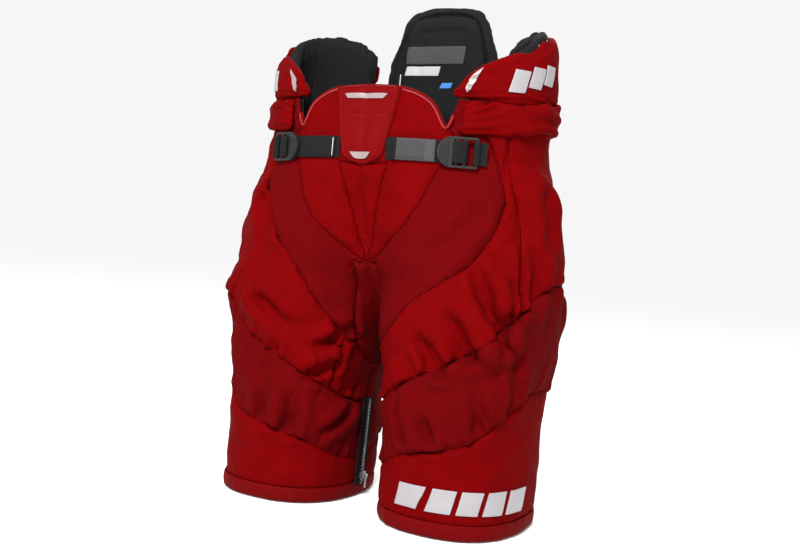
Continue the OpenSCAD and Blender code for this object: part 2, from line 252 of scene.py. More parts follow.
# Seams: half widths against height for those in front, heights against leg angle for those round a leg.
front_edge = table((.293, .000), (.303, .016), (.318, .033), (.34, .060), (.365, .076), (.40, .090),
                   (.43, .104), (.44, .106), (.446, .100), (.453, .092))
fly_edge = table((.295, .000), (.314, .006), (.363, .018), (.406, .031))
crescent_left = table((.196, .014), (.200, .025), (.227, .052), (.243, .065), (.261, .084), (.271, .100),
                      (.302, .140), (.338, .160), (.377, .164), (.415, .152), (.446, .134))
crescent_right = table((.196, .014), (.200, .022), (.221, .032), (.245, .050), (.273, .070), (.306, .100),
                       (.340, .124), (.384, .143), (.415, .136), (.446, .116))
rim = table((.0, .496), (.041, .494), (.057, .490), (.070, .484), (.079, .477), (.086, .464), (.091, .453),
            (.095, .450), (.099, .456), (.104, .484))
side_y = table((.235, -.070), (.269, -.068), (.324, -.064), (.362, -.060), (.45, -.056))
back_x = table((.20, .150), (.30, .146), (.38, .130), (.478, .115))
mesh_top = table((-180, .118), (-158, .128), (-127, .150), (-110, .162), (-93, .178), (-70, .205),
                 (-48, .233), (-34, .252), (-20, .272), (-5, .286), (15, .288), (40, .274), (60, .256))
guard_top = table((-180, .048), (-158, .055), (-125, .076), (-95, .090), (-62, .106), (-45, .122),
                  (-30, .142), (-10, .163), (20, .162), (60, .135), (90, .108), (135, .075), (180, .048))
FOLD_Z = .252
SEAT_TOP = .484
GUSSET = .016


def crescent_edge(p):
    return np.where(p[:, 0] > 0, crescent_left(p[:, 2]), crescent_right(p[:, 2]))


def seams(p):
    """Each seam as (name, signed distance of every point from it, where it counts)."""
    ax, y, z, t = np.abs(p[:, 0]), p[:, 1], p[:, 2], leg_angle(p)
    front, back = y < 0, y > 0
    above_mesh = z > mesh_top(t)
    yield "front", ax - front_edge(z), front & (z > .290) & (z < .455)
    yield "fly", ax - fly_edge(z), front & (z > .294) & (z < .408)
    yield "crescent", (ax - crescent_edge(p)) * .7, front & (z > .190) & (z < .452)
    yield "gusset", ax - GUSSET, (z < .300) & (z > .20) & (np.abs(y) < .09) & (front | (z < FOLD_Z))
    yield "side", y - side_y(z), (ax > .12) & front & above_mesh & (z < .46)
    yield "mesh_top", z - mesh_top(t), (front | (ax > back_x(z))) & (z < .31)
    yield "guard_top", z - guard_top(t), z < .18
    yield "hem", z - HEM_Z, z < .04
    yield "back", ax - back_x(z), back & (z > guard_top(t)) & (z < .49)
    yield "fold", z - FOLD_Z, back & (ax < back_x(z) + .004)
    yield "middle", p[:, 0], (back & (z > .2)) | (z > .2) & (z < .29)
    yield "inner", y, (ax < .06) & (z > guard_top(t)) & (z < .236)


REGIONS = ["front_panel", "fly_panel", "groin_mesh", "hip_panel", "seat_panel", "thigh_panel", "lower_mesh",
           "hem_guard", "back_panel", "crotch_gusset", "binding"]


def region(p):
    """The panel that each point belongs to, as a place in REGIONS."""
    ax, y, z, t = np.abs(p[:, 0]), p[:, 1], p[:, 2], leg_angle(p)
    front = y < 0
    r = np.full(len(p), REGIONS.index("hip_panel"))

    def put(name, where):
        r[where] = REGIONS.index(name)
    put("thigh_panel", front & (y < side_y(z)) & (z < .46))
    put("groin_mesh", front & (ax < crescent_edge(p)) & (z > .196))
    put("front_panel", front & (ax < front_edge(z)) & (z > .293))
    put("front_panel", front & (z > .446) & (ax < .1))
    put("fly_panel", front & (ax < fly_edge(z)) & (z > .295) & (z < .406))
    put("seat_panel", ~front & (ax < back_x(z)))
    put("back_panel", ~front & (ax < back_x(z)) & (z < FOLD_Z))
    put("crotch_gusset", (ax < GUSSET) & (np.abs(y) < .09) & (z < .293) & (front | (z < FOLD_Z)))
    put("lower_mesh", (front | (ax > back_x(z))) & (z < mesh_top(t)))
    put("hem_guard", z < guard_top(t))
    put("binding", z < HEM_Z)
    return r


SNAP = .0007


def cut_line(bm, values, mask):
    """Cuts the mesh along the zero line of values, inside mask, so that the seam is a chain of edges."""
    values = np.where(np.abs(values) < SNAP, 0.0, values)
    percents = {}
    for e in bm.edges:
        a, b = e.verts
        va, vb = values[a.index], values[b.index]
        if va * vb < 0 and mask[a.index] and mask[b.index]:
            percents[e] = va / (va - vb)
    mark = bm.verts.layers.int.get("mark") or bm.verts.layers.int.new("mark")
    for v in bm.verts:
        v[mark] = int(values[v.index] == 0 and mask[v.index])
    made = bmesh.ops.bisect_edges(bm, edges=list(percents), cuts=1, edge_percents=percents)
    for g in made["geom_split"]:
        if isinstance(g, bmesh.types.BMVert):
            g[mark] = 1
    chosen = [v for v in bm.verts if v[mark]]
    bmesh.ops.connect_verts(bm, verts=chosen, check_degenerate=True)
    bm.verts.index_update()
    bm.verts.ensure_lookup_table()


def bm_coords(bm):
    return np.array([v.co for v in bm.verts], float)


def face_centres(bm):
    return np.array([f.calc_center_median() for f in bm.faces], float)


def slice_at(bm, place, normal, **how):
    bmesh.ops.bisect_plane(bm, geom=bm.verts[:] + bm.edges[:] + bm.faces[:], plane_co=place, plane_no=normal,
                           **how)


def waistline(p, lower=0.0):
    """How high the waist's edge is at each point, less that much."""
    return np.where(p[:, 1] < 0, rim(np.abs(p[:, 0])) - lower, SEAT_TOP - lower)


def drop_above(bm, lower=0.0):
    """Deletes the faces above the waistline."""
    c = face_centres(bm)
    drop = [f for f, z, top in zip(bm.faces, c[:, 2], waistline(c, lower)) if z > top]
    bmesh.ops.delete(bm, geom=drop, context="FACES")


def cut_body(body):
    bm = bmesh.new()
    bm.from_mesh(body.data)
    slice_at(bm, (0, 0, .002), (0, 0, 1), clear_inner=True)
    bm.verts.index_update()
    p = bm_coords(bm)
    cut_line(bm, p[:, 2] - waistline(p), p[:, 2] > .44)
    for name in [s[0] for s in seams(bm_coords(bm))]:
        p = bm_coords(bm)
        values, mask = next((s[1], s[2]) for s in seams(p) if s[0] == name)
        cut_line(bm, values, mask)
    drop_above(bm)
    loose = [v for v in bm.verts if not v.link_faces]
    bmesh.ops.delete(bm, geom=loose, context="VERTS")
    centres = face_centres(bm)
    kinds = region(centres)
    layer = bm.faces.layers.int.new("panel")
    half = (centres[:, 0] > 0).astype(int)
    for f, k, h in zip(bm.faces, kinds, half):
        f[layer] = int(k) * 2 + int(h)
    bm.to_mesh(body.data)
    bm.free()
    return body


def seam_flags(mesh):
    """For each vertex, whether two panels meet there, and whether it is on an open edge."""
    panel = read(mesh.attributes["panel"].data, "value")
    loops = read(mesh.loops, "vertex_index")
    owner = np.repeat(panel, read(mesh.polygons, "loop_total"))
    low, high = np.full(len(mesh.vertices), 999), np.full(len(mesh.vertices), -1)
    np.minimum.at(low, loops, owner)
    np.maximum.at(high, loops, owner)
    bm = bmesh.new()
    bm.from_mesh(mesh)
    open_edge = np.array([any(e.is_boundary for e in v.link_edges) for v in bm.verts])
    bm.free()
    return low != high, open_edge


def weights(o, name, values):
    group = o.vertex_groups.new(name=name)
    for i, w in enumerate(values):
        if w > 0:
            group.add([i], float(w), "REPLACE")
    return name


# Creases: how deep, how wide, and the line from the seam where it starts to where it fades out. The lines in
# front are measured ones, but for one that is mirrored; those behind are made up.
CREASES = [
    (.0060, .008, (.179, -.085, .219), (.164, -.100, .267), (.143, -.108, .318)),
    (.0050, .008, (.182, -.084, .236), (.188, -.077, .269), (.190, -.075, .302)),
    (.0040, .007, (.121, -.108, .184), (.106, -.110, .206), (.084, -.109, .220)),
    (.0045, .009, (.152, -.102, .206), (.138, -.109, .232), (.117, -.112, .251)),
    (.0030, .008, (.113, -.104, .107), (.105, -.105, .137), (.111, -.107, .168)),
    (.0030, .008, (.164, -.089, .127), (.160, -.094, .158), (.153, -.100, .190)),
    (.0030, .007, (.186, -.062, .150), (.189, -.063, .192), (.186, -.078, .231)),
    (.0030, .007, (.082, -.101, .102), (.073, -.098, .131), (.073, -.101, .162)),
    (.0060, .008, (-.027, -.065, .211), (-.038, -.078, .196), (-.053, -.092, .183)),
    (.0045, .008, (-.038, -.073, .174), (-.048, -.083, .159), (-.069, -.098, .157)),
    (.0040, .007, (-.029, -.043, .112), (-.036, -.060, .096), (-.046, -.077, .080)),
    (.0030, .008, (-.073, -.098, .090), (-.069, -.096, .114), (-.075, -.100, .141)),
    (.0030, .008, (-.108, -.104, .100), (-.102, -.104, .132), (-.112, -.107, .160)),
    (.0040, .009, (-.117, -.112, .238), (-.090, -.109, .217), (-.066, -.102, .208)),
    (.0035, .010, (.193, -.022, .382), (.203, -.019, .349), (.206, -.032, .313)),
    (.0035, .010, (.197, -.053, .270), (.201, -.048, .303), (.191, -.055, .335)),
    (.0030, .009, (-.193, -.022, .372), (-.203, -.019, .340), (-.205, -.030, .303)),
    (.0025, .009, (.141, -.089, .357), (.122, -.101, .330), (.092, -.111, .309)),
    (.0025, .009, (-.141, -.088, .358), (-.124, -.101, .322), (-.129, -.100, .283)),
    (.0050, .010, (.030, .095, .256), (.070, .112, .262), (.110, .108, .276)),
    (.0050, .010, (-.030, .095, .256), (-.070, .112, .262), (-.110, .108, .276)),
    (.0040, .009, (.020, .080, .240), (.050, .098, .215), (.085, .106, .200)),
    (.0040, .009, (-.020, .080, .240), (-.050, .098, .215), (-.085, .106, .200)),
    (.0035, .010, (.180, .060, .250), (.160, .085, .262), (.130, .105, .290)),
    (.0035, .010, (-.180, .060, .250), (-.160, .085, .262), (-.130, .105, .290)),
    (.0055, .011, (.024, .104, .262), (.040, .112, .300), (.074, .112, .340)),
    (.0055, .011, (-.024, .104, .262), (-.044, .112, .304), (-.070, .112, .350)),
    (.0050, .011, (.128, .104, .470), (.112, .108, .430), (.082, .112, .388)),
    (.0050, .011, (-.126, .104, .468), (-.108, .108, .424), (-.086, .112, .376)),
    (.0050, .010, (.052, .098, .150), (.066, .104, .180), (.092, .108, .214)),
    (.0050, .010, (-.052, .098, .150), (-.070, .104, .184), (-.100, .108, .210)),
    (.0045, .010, (.140, .096, .170), (.128, .104, .196), (.106, .108, .232)),
    (.0045, .010, (-.142, .096, .166), (-.126, .104, .200), (-.108, .108, .236)),
]


def crease_height(p):
    """How far each point is pushed in or out by the creases: a valley with a soft ridge on each side."""
    height = np.zeros(len(p))
    for depth, width, *line in CREASES:
        line = np.array(line)
        near = np.linalg.norm(p - line.mean(0), axis=1) < .12
        q = p[near]
        gap, along = np.full(len(q), 9.0), np.zeros(len(q))
        for i, (a, b) in enumerate(zip(line, line[1:])):
            s = np.clip((q - a) @ (b - a) / ((b - a) @ (b - a)), 0, 1)
            d = np.linalg.norm(q - a - s[:, None] * (b - a), axis=1)
            closer = d < gap
            gap[closer] = d[closer]
            along[closer] = (i + s[closer]) / (len(line) - 1)
        fade = 1 - along ** 3
        height[near] += depth * fade * (.8 * bell(gap - 2.0 * width, width) - bell(gap, width))
    return height


def wrinkles(p, size, seed=0.0):
    """Smooth random heights, about -0.5 to 0.5, with bumps of that size."""
    return np.array([noise.noise(Vector(v) / size + Vector((seed, 0, 0))) for v in p])


# How much spare cloth each panel has, as a share of the most.
SLACK_MOST = .35
SLACK = {"front_panel": .1, "fly_panel": .1, "groin_mesh": .15, "hip_panel": .45, "seat_panel": .4,
         "thigh_panel": 1.0, "lower_mesh": .8, "hem_guard": .2, "back_panel": .5, "crotch_gusset": .2,
         "binding": 0}


def drape(o, slack, pin, pressure, steps=10, bend=.2, inward=.004, outward=.010):
    """Cloth simulation of o, blown up a little and held at its pinned vertices; the result is applied."""
    scene = bpy.context.scene
    rest, out = coords(o.data), normals(o.data)
    cloth = modify(o, "CLOTH")
    cs = cloth.settings
    cs.quality = 5
    cs.mass = .003
    cs.tension_stiffness = cs.compression_stiffness = 5
    cs.shear_stiffness = 1.7
    cs.bending_stiffness = bend
    cs.tension_damping = cs.compression_damping = cs.shear_damping = 1
    cs.use_pressure = True
    cs.uniform_pressure_force = pressure
    cs.vertex_group_mass = weights(o, "pin", pin)
    cs.vertex_group_shrink = weights(o, "slack", slack)
    cs.shrink_min, cs.shrink_max = 0, -SLACK_MOST
    cs.effector_weights.gravity = 0
    cloth.collision_settings.use_collision = False
    cloth.collision_settings.use_self_collision = False
    cloth.point_cache.frame_start, cloth.point_cache.frame_end = 1, steps
    scene.frame_start, scene.frame_end = 1, steps
    for f in range(1, steps + 1):
        scene.frame_set(f)
    applied(o)
    moved = coords(o.data) - rest
    depth = (moved * out).sum(1)
    moved += (np.clip(depth, -inward, outward) - depth)[:, None] * out
    length = np.linalg.norm(moved, axis=1)
    moved *= np.minimum(1, 1.3 * outward / np.maximum(length, 1e-9))[:, None]
    set_coords(o.data, rest + moved)
    o.vertex_groups.clear()
    scene.frame_set(1)
    return o


def on_placket(p):
    """Whether each point lies round the zip tapes, where the cloth stays flat."""
    return (np.abs(p[:, 0]) < .045) & (np.abs(p[:, 1]) < .02) & (p[:, 2] < .14)


def sew_body(raw):
    """The outer cover, still in one piece: creased, draped between its seams and drawn in along them."""
    o = cut_body(raw)
    at_seam, at_edge = seam_flags(o.data)
    p = coords(o.data)
    slack = np.array([SLACK[REGIONS[k]] for k in region(p)])
    pin = (at_seam | at_edge | on_placket(p)).astype(float)
    loose = (1 - pin) * np.clip(slack * 1.6, 0, 1)
    first = np.maximum(1.3 * crease_height(p) + .008 * wrinkles(p, .045), -.0055)
    set_coords(o.data, p + normals(o.data) * (loose * first)[:, None])
    drape(o, slack, pin, 13)
    return seam_detail(subdivided(o))


# How high the cloth gathers beside a seam and how far that reaches, on the first panel's side of the two.
GATHER = {("thigh_panel", "lower_mesh"): (.0085, .032), ("lower_mesh", "thigh_panel"): (.0034, .022),
          ("lower_mesh", "hem_guard"): (.0046, .026), ("hem_guard", "lower_mesh"): (.0010, .010),
          ("thigh_panel", "groin_mesh"): (.0020, .018), ("groin_mesh", "thigh_panel"): (.0009, .012),
          ("groin_mesh", "front_panel"): (.0010, .012), ("front_panel", "groin_mesh"): (.0007, .010),
          ("hip_panel", "thigh_panel"): (.0016, .018), ("thigh_panel", "hip_panel"): (.0016, .018),
          ("hip_panel", "lower_mesh"): (.0044, .030), ("seat_panel", "back_panel"): (.0030, .024),
          ("back_panel", "seat_panel"): (.0024, .020), ("back_panel", "hem_guard"): (.0026, .020),
          ("hem_guard", "binding"): (.0010, .008)}
PLAIN_GATHER = (.0010, .012)


SEAM_STEP = .0008


def seam_samples(mesh):
    """Points close together along every seam, each with the two panels that meet there."""
    panel = read(mesh.attributes["panel"].data, "value")
    edge_of = read(mesh.loops, "edge_index")
    owner = np.repeat(panel, read(mesh.polygons, "loop_total"))
    low, high = np.full(len(mesh.edges), 999), np.full(len(mesh.edges), -1)
    np.minimum.at(low, edge_of, owner)
    np.maximum.at(high, edge_of, owner)
    ends, co = read(mesh.edges, "vertices", 2), coords(mesh)
    points, pairs = [], []
    for e in np.nonzero(low < high)[0]:
        a, b = co[ends[e]]
        for s in np.arange(0, 1, SEAM_STEP / max(np.linalg.norm(b - a), SEAM_STEP)):
            points.append(a + s * (b - a))
            pairs.append((low[e] // 2, high[e] // 2))
    return points, pairs


def keep_gap(mesh, gap):
    mesh.attributes.new("seam", "FLOAT", "POINT").data.foreach_set("value", gap)


def seam_detail(o):
    """Draws the cover in along its seams, gathers it beside them and keeps each point's distance from one."""
    mesh = o.data
    points, pairs = seam_samples(mesh)
    tree = kdtree.KDTree(len(points))
    for i, q in enumerate(points):
        tree.insert(q, i)
    tree.balance()
    p, out, kinds = coords(mesh), normals(mesh), region(coords(mesh))
    found = [tree.find(v) for v in p]
    gap = np.array([f[2] for f in found])
    near = np.array([f[0] for f in found])
    size = np.zeros((len(p), 2)) + PLAIN_GATHER
    for i, f in enumerate(found):
        if gap[i] < .09:
            a, b = pairs[f[1]]
            other = b if a == kinds[i] else a
            size[i] = GATHER.get((REGIONS[kinds[i]], REGIONS[other]), PLAIN_GATHER)
    fine = wrinkles(near, .0075) + .8 * wrinkles(near, .016, 3.0)
    height = size[:, 0] * fine * np.clip(gap / .004, 0, 1) * np.exp(-gap / size[:, 1])
    height -= .0016 * bell(gap, .0045) + .0012 * bell(gap, .0013)
    away = np.clip(gap / .008, 0, 1)
    height += (.0014 * wrinkles(p, .022, 9.0) + np.maximum(1.2 * crease_height(p), -.005)) * away
    flat = on_placket(p)
    height[flat] = np.minimum(height[flat], 0)
    set_coords(mesh, p + out * height[:, None])
    keep_gap(mesh, np.minimum(gap, .05).astype(np.float32))
    return o


def box_uv(o):
    """Texture coordinates in metres, taken along the axis that each face looks along most."""
    mesh = o.data
    n = np.abs(read(mesh.polygons, "normal", 3, np.float32))
    axis = np.repeat(np.argmax(n * (1, 1, .8), axis=1), read(mesh.polygons, "loop_total"))
    at = coords(mesh)[read(mesh.loops, "vertex_index")]
    u = np.where(axis == 0, at[:, 1], at[:, 0])
    v = np.where(axis == 2, at[:, 1], at[:, 2])
    layer = mesh.uv_layers.get("UVMap") or mesh.uv_layers.new(name="UVMap")
    layer.data.foreach_set("uv", np.stack((u, v), 1).astype(np.float32).ravel())
    return o


def smooth(o):
    o.data.polygons.foreach_set("use_smooth", np.ones(len(o.data.polygons), bool))
    return o


# ---------------------------------------------------------------- materials
def material(name, slot, colour, rough, **extra):
    m = bpy.data.materials.new(name)
    m.use_nodes = True
    shader = m.node_tree.nodes["Principled BSDF"]
    shader.inputs["Base Color"].default_value = (*colour, 1)
    shader.inputs["Roughness"].default_value = rough
    for socket, value in extra.items():
        shader.inputs[socket.replace("_", " ")].default_value = value
    m["slot"] = slot
    return m


def add(m, kind, **settings):
    node = m.node_tree.nodes.new(kind)
    for k, v in settings.items():
        setattr(node, k, v)
    return node


def uv_texture(m, kind, scale, **settings):
    """A texture node on the metric coordinates, with that many repeats a metre."""
    where = add(m, "ShaderNodeTexCoord")
    node = add(m, kind, **settings)
    node.inputs["Scale"].default_value = scale
    m.node_tree.links.new(where.outputs["UV"], node.inputs["Vector"])
    return node


def tint(m, source, low, high, at=(.35, .65)):
    """Colours the material between low and high, as the source goes from at[0] to at[1]."""
    ramp = add(m, "ShaderNodeValToRGB")
    for stop, place, colour in zip(ramp.color_ramp.elements, at, (low, high)):
        stop.position, stop.color = place, (*colour, 1)
    m.node_tree.links.new(source, ramp.inputs["Fac"])
    m.node_tree.links.new(ramp.outputs["Color"], m.node_tree.nodes["Principled BSDF"].inputs["Base Color"])


def emboss(m, source, strength, distance=.0004):
    bump = add(m, "ShaderNodeBump")
    bump.inputs["Strength"].default_value = strength
    bump.inputs["Distance"].default_value = distance
    m.node_tree.links.new(source, bump.inputs["Height"])
    old = m.node_tree.nodes["Principled BSDF"].inputs["Normal"]
    if old.is_linked:
        m.node_tree.links.new(old.links[0].from_socket, bump.inputs["Normal"])
    m.node_tree.links.new(bump.outputs["Normal"], old)


def weave(m, pitch, strength):
    """Over and under threads: bands both ways."""
    across = uv_texture(m, "ShaderNodeTexWave", math.tau / 20 / pitch, bands_direction="X")
    along = uv_texture(m, "ShaderNodeTexWave", math.tau / 20 / pitch, bands_direction="Y")
    both = add(m, "ShaderNodeMath", operation="MULTIPLY")
    m.node_tree.links.new(across.outputs["Fac"], both.inputs[0])
    m.node_tree.links.new(along.outputs["Fac"], both.inputs[1])
    emboss(m, both.outputs[0], strength)
    return both.outputs[0]


def stitch(m, low, high):
    """A sewn row of short stitches beside the seams, from the distance that each point keeps."""
    gap = add(m, "ShaderNodeAttribute", attribute_name="seam")
    row = add(m, "ShaderNodeValToRGB")
    row.color_ramp.elements[0].position, row.color_ramp.elements[1].position = low, high
    row.color_ramp.elements[0].color = row.color_ramp.elements[1].color = (0, 0, 0, 1)
    row.color_ramp.elements.new((low + high) / 2).color = (1, 1, 1, 1)
    m.node_tree.links.new(gap.outputs["Fac"], row.inputs["Fac"])
    dashes = uv_texture(m, "ShaderNodeTexWave", 95, bands_direction="DIAGONAL")
    both = add(m, "ShaderNodeMath", operation="MULTIPLY")
    m.node_tree.links.new(row.outputs["Color"], both.inputs[0])
    m.node_tree.links.new(dashes.outputs["Fac"], both.inputs[1])
    emboss(m, both.outputs[0], .9, .0010)


def red_cloth():
    m = material("red_nylon", "red_nylon", (.098, .0003, .0007), .85, Specular_IOR_Level=.018)
    weave(m, .0012, .35)
    blotch = uv_texture(m, "ShaderNodeTexNoise", 38)
    tint(m, blotch.outputs["Fac"], (.091, .0003, .0006), (.105, .0003, .0007))
    emboss(m, uv_texture(m, "ShaderNodeTexNoise", 260).outputs["Fac"], .25, .0006)
    stitch(m, .0046, .0062)
    return m


def knit_mesh():
    m = material("red_mesh", "red_mesh", (.075, .0004, .0008), .90, Specular_IOR_Level=.018)
    tint(m, weave(m, .0017, .6), (.056, .0002, .0004), (.118, .0018, .0030), (.05, .60))
    stitch(m, .0046, .0062)
    return m


def black_cloth(name, slot, colour, pitch, strength):
    m = material(name, slot, colour, .85, Specular_IOR_Level=.06)
    weave(m, pitch, strength)
    return m


RED = red_cloth()
KNIT = knit_mesh()
EDGE = material("red_binding", "red_binding", (.093, .0003, .0007), .75, Specular_IOR_Level=.04)
weave(EDGE, .0016, .5)
PIPING = material("pink_piping", "red_binding", (.21, .022, .026), .6, Specular_IOR_Level=.1)
LINING = black_cloth("black_lining", "black_lining", (.0080, .0076, .0078), .0026, .5)
WEBBING = black_cloth("black_webbing", "black_webbing", (.0075, .0075, .0080), .0030, .9)
GREY_WEBBING = black_cloth("grey_webbing", "grey_webbing", (.045, .045, .048), .0030, .7)
FOAM = material("foam", "foam", (.55, .55, .52), .9)
emboss(FOAM, uv_texture(FOAM, "ShaderNodeTexVoronoi", 700).outputs["Distance"], .4)
CAP = material("plastic_cap", "plastic_cap", (.78, .78, .76), .38)
BUCKLE = material("buckle_plastic", "buckle_plastic", (.0095, .0095, .0105), .42, Specular_IOR_Level=.22)
SHIELD = material("crest_red", "crest_red", (.104, .0004, .0008), .62, Specular_IOR_Level=.035)
emboss(SHIELD, uv_texture(SHIELD, "ShaderNodeTexNoise", 500).outputs["Fac"], .25, .0005)
SILVER = material("silver_trim", "silver_trim", (.26, .25, .26), .40, Metallic=.2)
weave(SILVER, .0010, .35)
GREY_TRIM = material("grey_trim", "silver_trim", (.21, .165, .16), .40, Metallic=.15)
METAL = material("zip_metal", "zip_metal", (.33, .33, .34), .32, Metallic=1.0)
PATCH = material("light_patch", "silver_trim", (.34, .34, .34), .6)
BLUE = material("blue_tab", "silver_trim", (.03, .14, .40), .6)
THREAD_LIGHT = material("light_thread", "silver_trim", (.42, .40, .40), .6)


def dress(o, m):
    """Gives a piece its material and its metric coordinates."""
    o.data.materials.clear()
    o.data.materials.append(m)
    box_uv(smooth(o))
    return o


# ---------------------------------------------------------------- panels, bindings and linings
SIDES = (("left", 1), ("right", -1))


def with_leg(o, side):
    """Cloth that turns from the girdle into that leg below the hip; its placement is only baked into its
    mesh, and side is not used.
    """
    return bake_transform(o)


def thick(o, depth):
    modify(o, "SOLIDIFY", thickness=depth, offset=-1)
    return applied(o)


def part_of(mesh, chosen, name):
    """A new object from the chosen quads of a mesh, with its seam distances."""
    quads = read(mesh.loops, "vertex_index").reshape(-1, 4)
    used, quads = np.unique(quads[chosen], return_inverse=True)
    o = make(name, coords(mesh)[used], quads.reshape(-1, 4).tolist())
    gap = read(mesh.attributes["seam"].data, "value", kind=np.float32)
    keep_gap(o.data, gap[used])
    return o


PANEL_DEPTH, GUSSET_DEPTH, LINING_DEPTH = .0014, .0022, .0012
ONE_PIECE = ("front_panel", "fly_panel", "crotch_gusset")
KNITTED = ("groin_mesh", "lower_mesh", "crotch_gusset")


def build_panels(cover):
    """Cuts the draped cover into its sewn panels, each a closed piece of cloth."""
    mesh = cover.data
    panel = read(mesh.attributes["panel"].data, "value")
    made = {}
    for k, name in enumerate(REGIONS):
        if name == "binding":
            continue
        if name in ONE_PIECE:
            made[name] = part_of(mesh, panel // 2 == k, name)
            continue
        for side, sign in SIDES:
            made[side + "_" + name] = part_of(mesh, panel == 2 * k + (sign > 0), side + "_" + name)
    for name, o in made.items():
        kind = name.replace("left_", "").replace("right_", "")
        o.name = "cover_" + name
        depth = GUSSET_DEPTH if kind == "crotch_gusset" else PANEL_DEPTH
        dress(thick(o, depth), KNIT if kind in KNITTED else RED)
        if kind in ONE_PIECE:
            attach(o, "girdle")
        else:
            with_leg(o, name.split("_")[0])
        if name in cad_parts:
            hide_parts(name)
    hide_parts("seat_panel")
    return made


def build_lining(base):
    """The black inner side of girdle and legs: the smooth body drawn inwards, in a left and a right half."""
    p, out = coords(base.data), normals(base.data)
    front = np.clip((-p[:, 1] - .03) / .04, 0, 1)
    deep = .0145 - front * table((.40, 0), (.46, .0085), (.50, .0105))(p[:, 2])
    set_coords(base.data, p - out * deep[:, None])
    modify(base, "SMOOTH", factor=.5, iterations=8)
    applied(base)
    bm = bmesh.new()
    bm.from_mesh(base.data)
    slice_at(bm, (0, 0, .014), (0, 0, 1), clear_inner=True)
    slice_at(bm, (0, 0, .3), (1, 0, 0))
    c = bm_coords(bm)
    cut_line(bm, c[:, 2] - waistline(c, .002), c[:, 2] > .44)
    drop_above(bm, .002)
    for side, sign in SIDES:
        half = bm.copy()
        wrong = [f for f in half.faces if f.calc_center_median().x * sign < 0]
        bmesh.ops.delete(half, geom=wrong, context="FACES")
        mesh = bpy.data.meshes.new(side + "_inner_lining")
        half.to_mesh(mesh)
        half.free()
        o = dress(thick(new_object(side + "_inner_lining", mesh), LINING_DEPTH), LINING)
        with_leg(o, side)
        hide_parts(side + "_leg_liner")
        if side == "left":
            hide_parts("girdle_liner")
    bm.free()
    bpy.data.objects.remove(base)


def rounded(a):
    """From 0 to 1 and back over 0..1, with round shoulders."""
    return np.sqrt(np.clip(1 - np.abs(2 * a - 1) ** 5, 0, 1))


def cushion(name, place, t0, t1, low, high, insets, count, crown=0.0):
    """A closed padded form between two insets from the body: t0 to t1 wide, low(t) to high(t) high."""
    cols, rows = count
    u, v = np.linspace(0, 1, cols), np.linspace(0, 1, rows)
    t = (t0 + (t1 - t0) * u)[None, :] + 0 * v[:, None]
    z = low(t) + (high(t) - low(t)) * v[:, None]
    edge = rounded(u)[None, :] * rounded(v)[:, None]
    middle, half = sum(insets) / 2, (insets[1] - insets[0]) / 2
    outer = place(t, z, middle - half * edge - crown * edge ** 2).reshape(-1, 3)
    inner = place(t, z, middle + half * edge).reshape(-1, 3)
    faces = grid_faces(rows, cols, False) + grid_faces(rows, cols, False, rows * cols, True)
    o = make(name, np.concatenate((outer, inner)), faces)
    with editing(o.data) as bm:
        bmesh.ops.remove_doubles(bm, verts=bm.verts, dist=1e-5)
    return o


def tube(name, path, radius, sides=8):
    """A round bead along a path; radius is one value or one a point."""
    path = np.asarray(path, float)
    radius = np.broadcast_to(radius, len(path))
    way = np.gradient(path, axis=0)
    way /= np.linalg.norm(way, axis=1)[:, None]
    side = np.cross(way, (.05, .02, 1.0))
    side /= np.maximum(np.linalg.norm(side, axis=1), 1e-9)[:, None]
    up = np.cross(side, way)
    turn = np.arange(sides) * 2 * math.pi / sides
    ring = path[:, None] + radius[:, None, None] * (side[:, None] * np.cos(turn)[None, :, None]
                                                    + up[:, None] * np.sin(turn)[None, :, None])
    return make(name, ring.reshape(-1, 3), grid_faces(len(path), sides, True) + caps(len(path), sides))


def copied(o, name, sign):
    """A copy of a left piece; with sign -1 it is mirrored for the right side."""
    mesh = o.data.copy()
    if sign < 0:
        set_coords(mesh, coords(mesh) * (-1, 1, 1))
        mesh.flip_normals()
    return new_object(name, mesh)


def puff(o, pressure, noise_size, seed=0.0, *, rough):
    """The padding pass for a closed pad: a few dents, then a short cloth simulation."""
    p, out = coords(o.data), normals(o.data)
    set_coords(o.data, p + out * (rough * 2 * wrinkles(p, noise_size, seed))[:, None])
    drape(o, np.full(len(p), .25), np.zeros(len(p)), pressure, steps=6, bend=.3, inward=.003,
          outward=.0035)
    return o


def build_hems(side, sign):
    """The folded binding round a leg's opening: outside wall, round bottom and inside wall."""
    profile = [(.0016, .0195), (-.0002, .0185), (-.0010, .013), (-.0010, .007), (.0002, .0020),
               (.0032, .0005), (.0075, .0008), (.0110, .0040), (.0126, .0110), (.0135, .0200),
               (.0115, .0205), (.0090, .0120), (.0050, .0090), (.0030, .0120)]
    t = np.arange(0, 360, 2.0) - 180
    rings = []
    for i, (inset, z) in enumerate(profile):
        flat = leg_pt(t, z, inset, sign)
        ripple = wrinkles(flat * (1, 1, .3), .010, 5.0)
        outside = 1.0 if i in (1, 2, 3, 4) else .3
        rings.append(leg_pt(t, z, inset - .0016 * ripple * outside, sign))
    n, cols = len(rings), len(t)
    faces = grid_faces(n, cols, True, flip=sign > 0)
    last = [[(n - 1) * cols + c, (n - 1) * cols + (c + 1) % cols, (c + 1) % cols, c] for c in range(cols)]
    faces += [q[::-1] if sign > 0 else q for q in last]
    o = make(side + "_hem", np.concatenate(rings), faces)
    dress(subdivided(o), EDGE)
    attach(o, side + "_leg")
    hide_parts(side + "_hem_binding")


def bvh_of(o):
    bm = bmesh.new()
    bm.from_mesh(o.data)
    tree = BVHTree.FromBMesh(bm)
    bm.free()
    return tree


